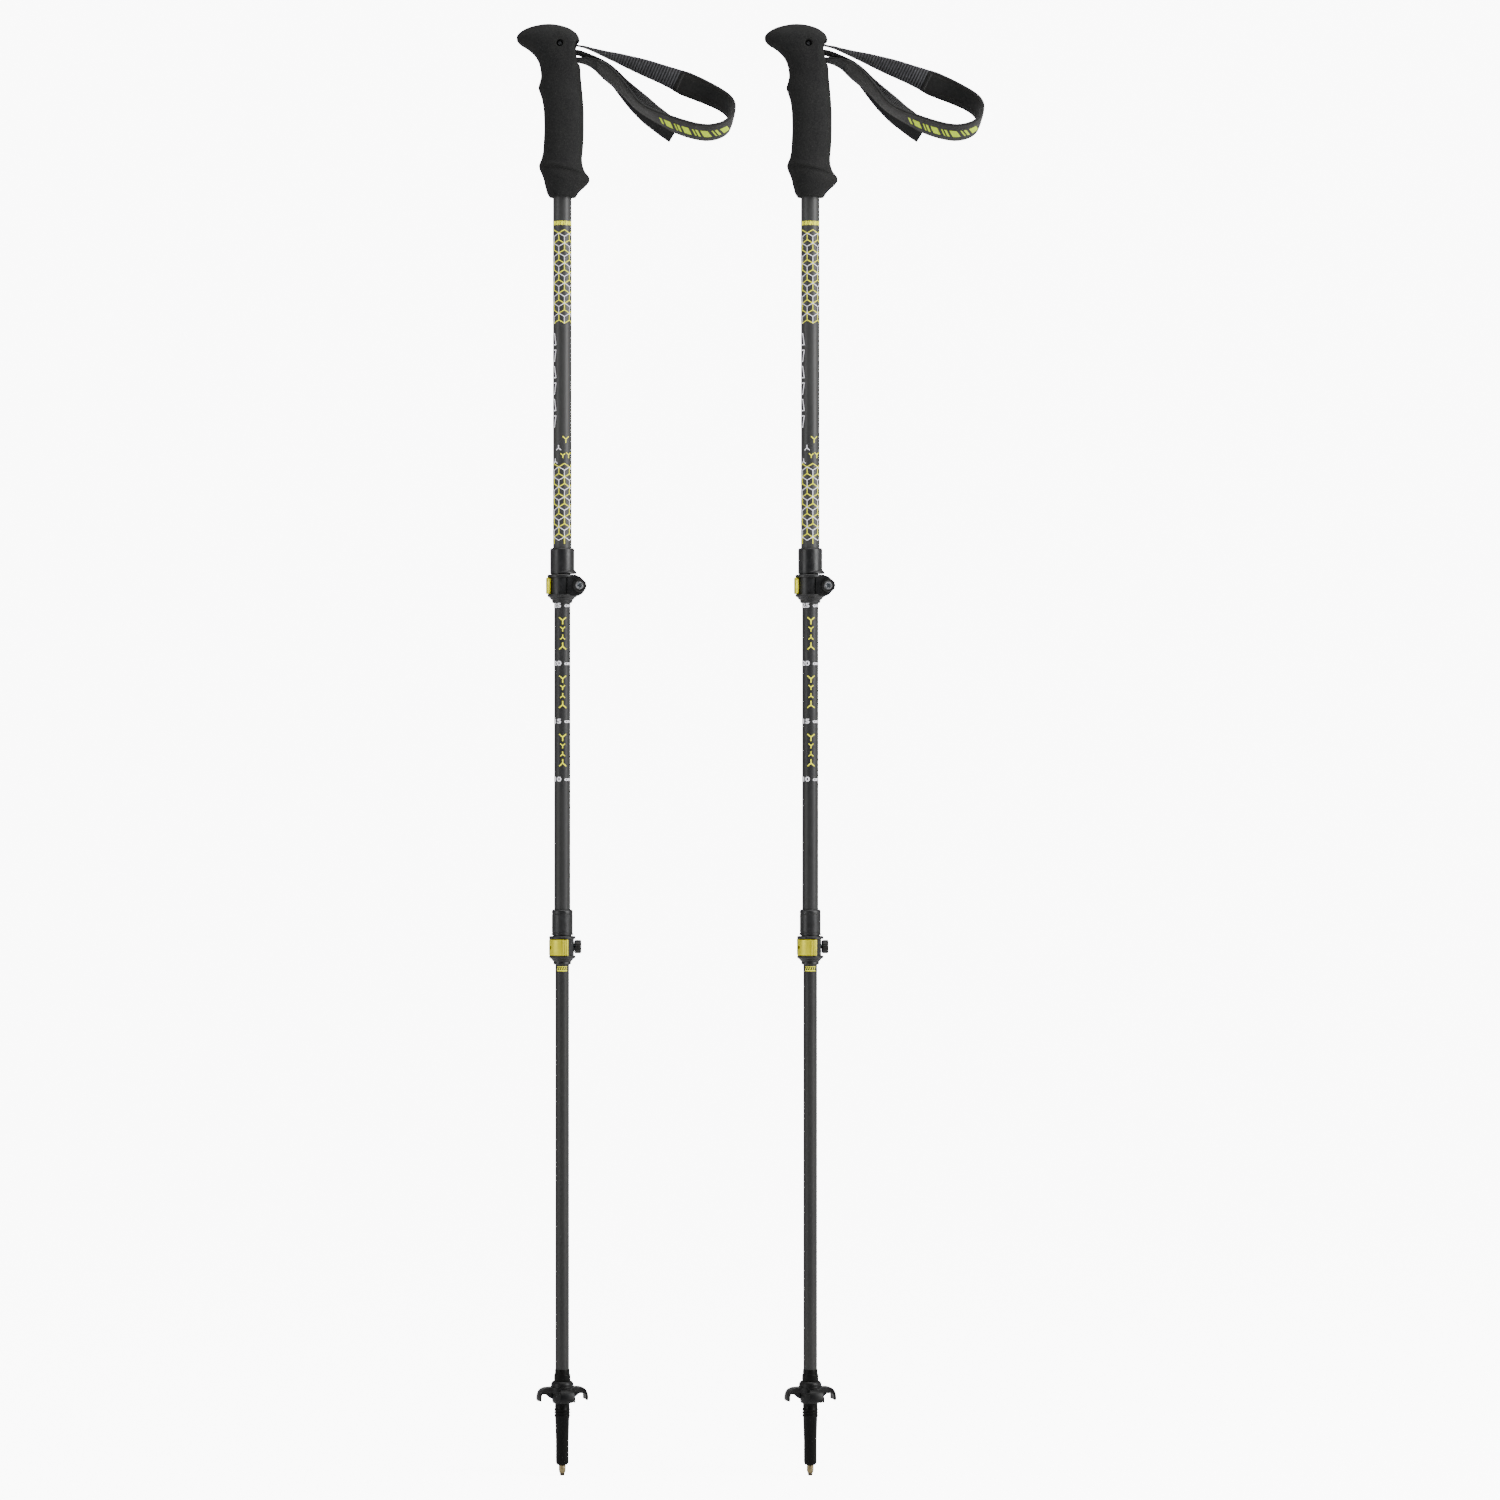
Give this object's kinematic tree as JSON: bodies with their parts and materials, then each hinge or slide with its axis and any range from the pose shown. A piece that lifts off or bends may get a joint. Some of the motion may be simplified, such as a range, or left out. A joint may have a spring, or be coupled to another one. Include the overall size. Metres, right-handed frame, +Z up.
{
  "type": "trekking poles",
  "caption": "Telescopic trekking poles with lever clamps, moulded foam grips, padded wrist straps, small lobed baskets and carbide tips.",
  "frame": {"origin": "the end of the left pole's carbide tip, on that pole's axis", "axes": "+Z up along both poles, +X from the left pole towards the right pole and along the wrist straps, +Y away from the side the screw heads and the front of the upper clamps face"},
  "size_m": [0.4045, 0.0484, 1.2554],
  "materials": {
    "upper_tube": "satin dark grey anodised tube",
    "middle_tube": "satin darker grey anodised tube",
    "lower_tube": "satin darkest grey anodised tube",
    "grip_foam": "matte closed-cell foam, fine grain",
    "core_nylon": "moulded glass-filled nylon",
    "clamp_nylon": "moulded glass-filled nylon, fine texture",
    "acetal": "turned acetal",
    "steel": "zinc-plated steel",
    "lever_alloy": "lime-gold anodised, brushed along the blade",
    "webbing": "ribbed polyester webbing",
    "padded_fabric": "padded band with a knitted face and a lime printed pattern",
    "tip_polymer": "moulded flexible tip polymer",
    "basket_polymer": "moulded flexible polymer",
    "ferrule_metal": "nickelled brass, worn",
    "carbide": "sintered tungsten carbide"
  },
  "bodies": {
    "left_upper": {"left_upper_shaft": "upper_tube", "left_grip": "grip_foam", "left_grip_core": "core_nylon", "left_strap_pin": "steel", "left_strap_anchor": "webbing", "left_upper_clamp_body": "clamp_nylon", "left_upper_clamp_bushing": "acetal", "left_upper_thrust_pad": "steel", "left_upper_barrel_nut": "steel"},
    "left_strap": {"left_strap_webbing": "webbing", "left_strap_pad": "padded_fabric"},
    "left_wedge": {"left_strap_wedge": "core_nylon"},
    "left_upper_lever_body": {"left_upper_lever": "lever_alloy"},
    "left_upper_screw": {"left_upper_tension_screw": "steel", "left_upper_screw_knob": "clamp_nylon"},
    "left_middle": {"left_middle_shaft": "middle_tube", "left_middle_guide": "acetal", "left_lower_clamp_body": "clamp_nylon", "left_lower_clamp_bushing": "acetal", "left_lower_thrust_pad": "steel", "left_lower_barrel_nut": "steel"},
    "left_lower_lever_body": {"left_lower_lever": "lever_alloy"},
    "left_lower_screw": {"left_lower_tension_screw": "steel", "left_lower_screw_knob": "clamp_nylon"},
    "left_lower": {"left_lower_shaft": "lower_tube", "left_lower_guide": "acetal", "left_flex_tip": "tip_polymer", "left_tip_ferrule": "ferrule_metal", "left_carbide_tip": "carbide"},
    "left_basket_body": {"left_basket": "basket_polymer"},
    "right_upper": {"right_upper_shaft": "upper_tube", "right_grip": "grip_foam", "right_grip_core": "core_nylon", "right_strap_pin": "steel", "right_strap_anchor": "webbing", "right_upper_clamp_body": "clamp_nylon", "right_upper_clamp_bushing": "acetal", "right_upper_thrust_pad": "steel", "right_upper_barrel_nut": "steel"},
    "right_strap": {"right_strap_webbing": "webbing", "right_strap_pad": "padded_fabric"},
    "right_wedge": {"right_strap_wedge": "core_nylon"},
    "right_upper_lever_body": {"right_upper_lever": "lever_alloy"},
    "right_upper_screw": {"right_upper_tension_screw": "steel", "right_upper_screw_knob": "clamp_nylon"},
    "right_middle": {"right_middle_shaft": "middle_tube", "right_middle_guide": "acetal", "right_lower_clamp_body": "clamp_nylon", "right_lower_clamp_bushing": "acetal", "right_lower_thrust_pad": "steel", "right_lower_barrel_nut": "steel"},
    "right_lower_lever_body": {"right_lower_lever": "lever_alloy"},
    "right_lower_screw": {"right_lower_tension_screw": "steel", "right_lower_screw_knob": "clamp_nylon"},
    "right_lower": {"right_lower_shaft": "lower_tube", "right_lower_guide": "acetal", "right_flex_tip": "tip_polymer", "right_tip_ferrule": "ferrule_metal", "right_carbide_tip": "carbide"},
    "right_basket_body": {"right_basket": "basket_polymer"}
  },
  "joints": [
    {"name": "left_middle_slide", "type": "slide", "parent": "left_upper", "child": "left_middle", "axis": [0, 0, 1], "range_m": [0, 0.255]},
    {"name": "left_lower_slide", "type": "slide", "parent": "left_middle", "child": "left_lower", "axis": [0, 0, 1], "range_m": [0, 0.335]},
    {"name": "left_upper_lever_hinge", "type": "hinge", "parent": "left_upper", "child": "left_upper_lever_body", "pos_m": [0.0156, 0.009, 0.7695], "axis": [0, 0, 1], "range_deg": [-120, 0]},
    {"name": "left_lower_lever_hinge", "type": "hinge", "parent": "left_middle", "child": "left_lower_lever_body", "pos_m": [-0.0076, 0.0142, 0.457], "axis": [0, 0, 1], "range_deg": [-120, 0]},
    {"name": "left_upper_screw_turn", "type": "hinge", "parent": "left_upper", "child": "left_upper_screw", "pos_m": [0.0156, 0, 0.7695], "axis": [0, 1, 0], "range_deg": [-180, 180]},
    {"name": "left_lower_screw_turn", "type": "hinge", "parent": "left_middle", "child": "left_lower_screw", "pos_m": [0, 0.0142, 0.457], "axis": [1, 0, 0], "range_deg": [-180, 180]},
    {"name": "left_basket_turn", "type": "hinge", "parent": "left_lower", "child": "left_basket_body", "pos_m": [0, 0, 0.072], "axis": [0, 0, 1], "range_deg": [0, 180]},
    {"name": "left_strap_swing", "type": "hinge", "parent": "left_upper", "child": "left_strap", "pos_m": [0.013, 0, 1.231], "axis": [0, 1, 0], "range_deg": [-57, 24]},
    {"name": "left_wedge_release", "type": "slide", "parent": "left_upper", "child": "left_wedge", "axis": [-1, 0, 0], "range_m": [0, 0.003]},
    {"name": "right_pole_apart", "type": "slide", "parent": "left_upper", "child": "right_upper", "axis": [1, 0, 0], "range_m": [0, 0.4]},
    {"name": "right_middle_slide", "type": "slide", "parent": "right_upper", "child": "right_middle", "axis": [0, 0, 1], "range_m": [0, 0.255]},
    {"name": "right_lower_slide", "type": "slide", "parent": "right_middle", "child": "right_lower", "axis": [0, 0, 1], "range_m": [0, 0.335]},
    {"name": "right_upper_lever_hinge", "type": "hinge", "parent": "right_upper", "child": "right_upper_lever_body", "pos_m": [0.2301, 0.009, 0.7695], "axis": [0, 0, 1], "range_deg": [-120, 0]},
    {"name": "right_lower_lever_hinge", "type": "hinge", "parent": "right_middle", "child": "right_lower_lever_body", "pos_m": [0.2069, 0.0142, 0.457], "axis": [0, 0, 1], "range_deg": [-120, 0]},
    {"name": "right_upper_screw_turn", "type": "hinge", "parent": "right_upper", "child": "right_upper_screw", "pos_m": [0.2301, 0, 0.7695], "axis": [0, 1, 0], "range_deg": [-180, 180]},
    {"name": "right_lower_screw_turn", "type": "hinge", "parent": "right_middle", "child": "right_lower_screw", "pos_m": [0.2145, 0.0142, 0.457], "axis": [1, 0, 0], "range_deg": [-180, 180]},
    {"name": "right_basket_turn", "type": "hinge", "parent": "right_lower", "child": "right_basket_body", "pos_m": [0.2145, 0, 0.072], "axis": [0, 0, 1], "range_deg": [0, 180]},
    {"name": "right_strap_swing", "type": "hinge", "parent": "right_upper", "child": "right_strap", "pos_m": [0.2275, 0, 1.231], "axis": [0, 1, 0], "range_deg": [-57, 24]},
    {"name": "right_wedge_release", "type": "slide", "parent": "right_upper", "child": "right_wedge", "axis": [-1, 0, 0], "range_m": [0, 0.003]}
  ]
}
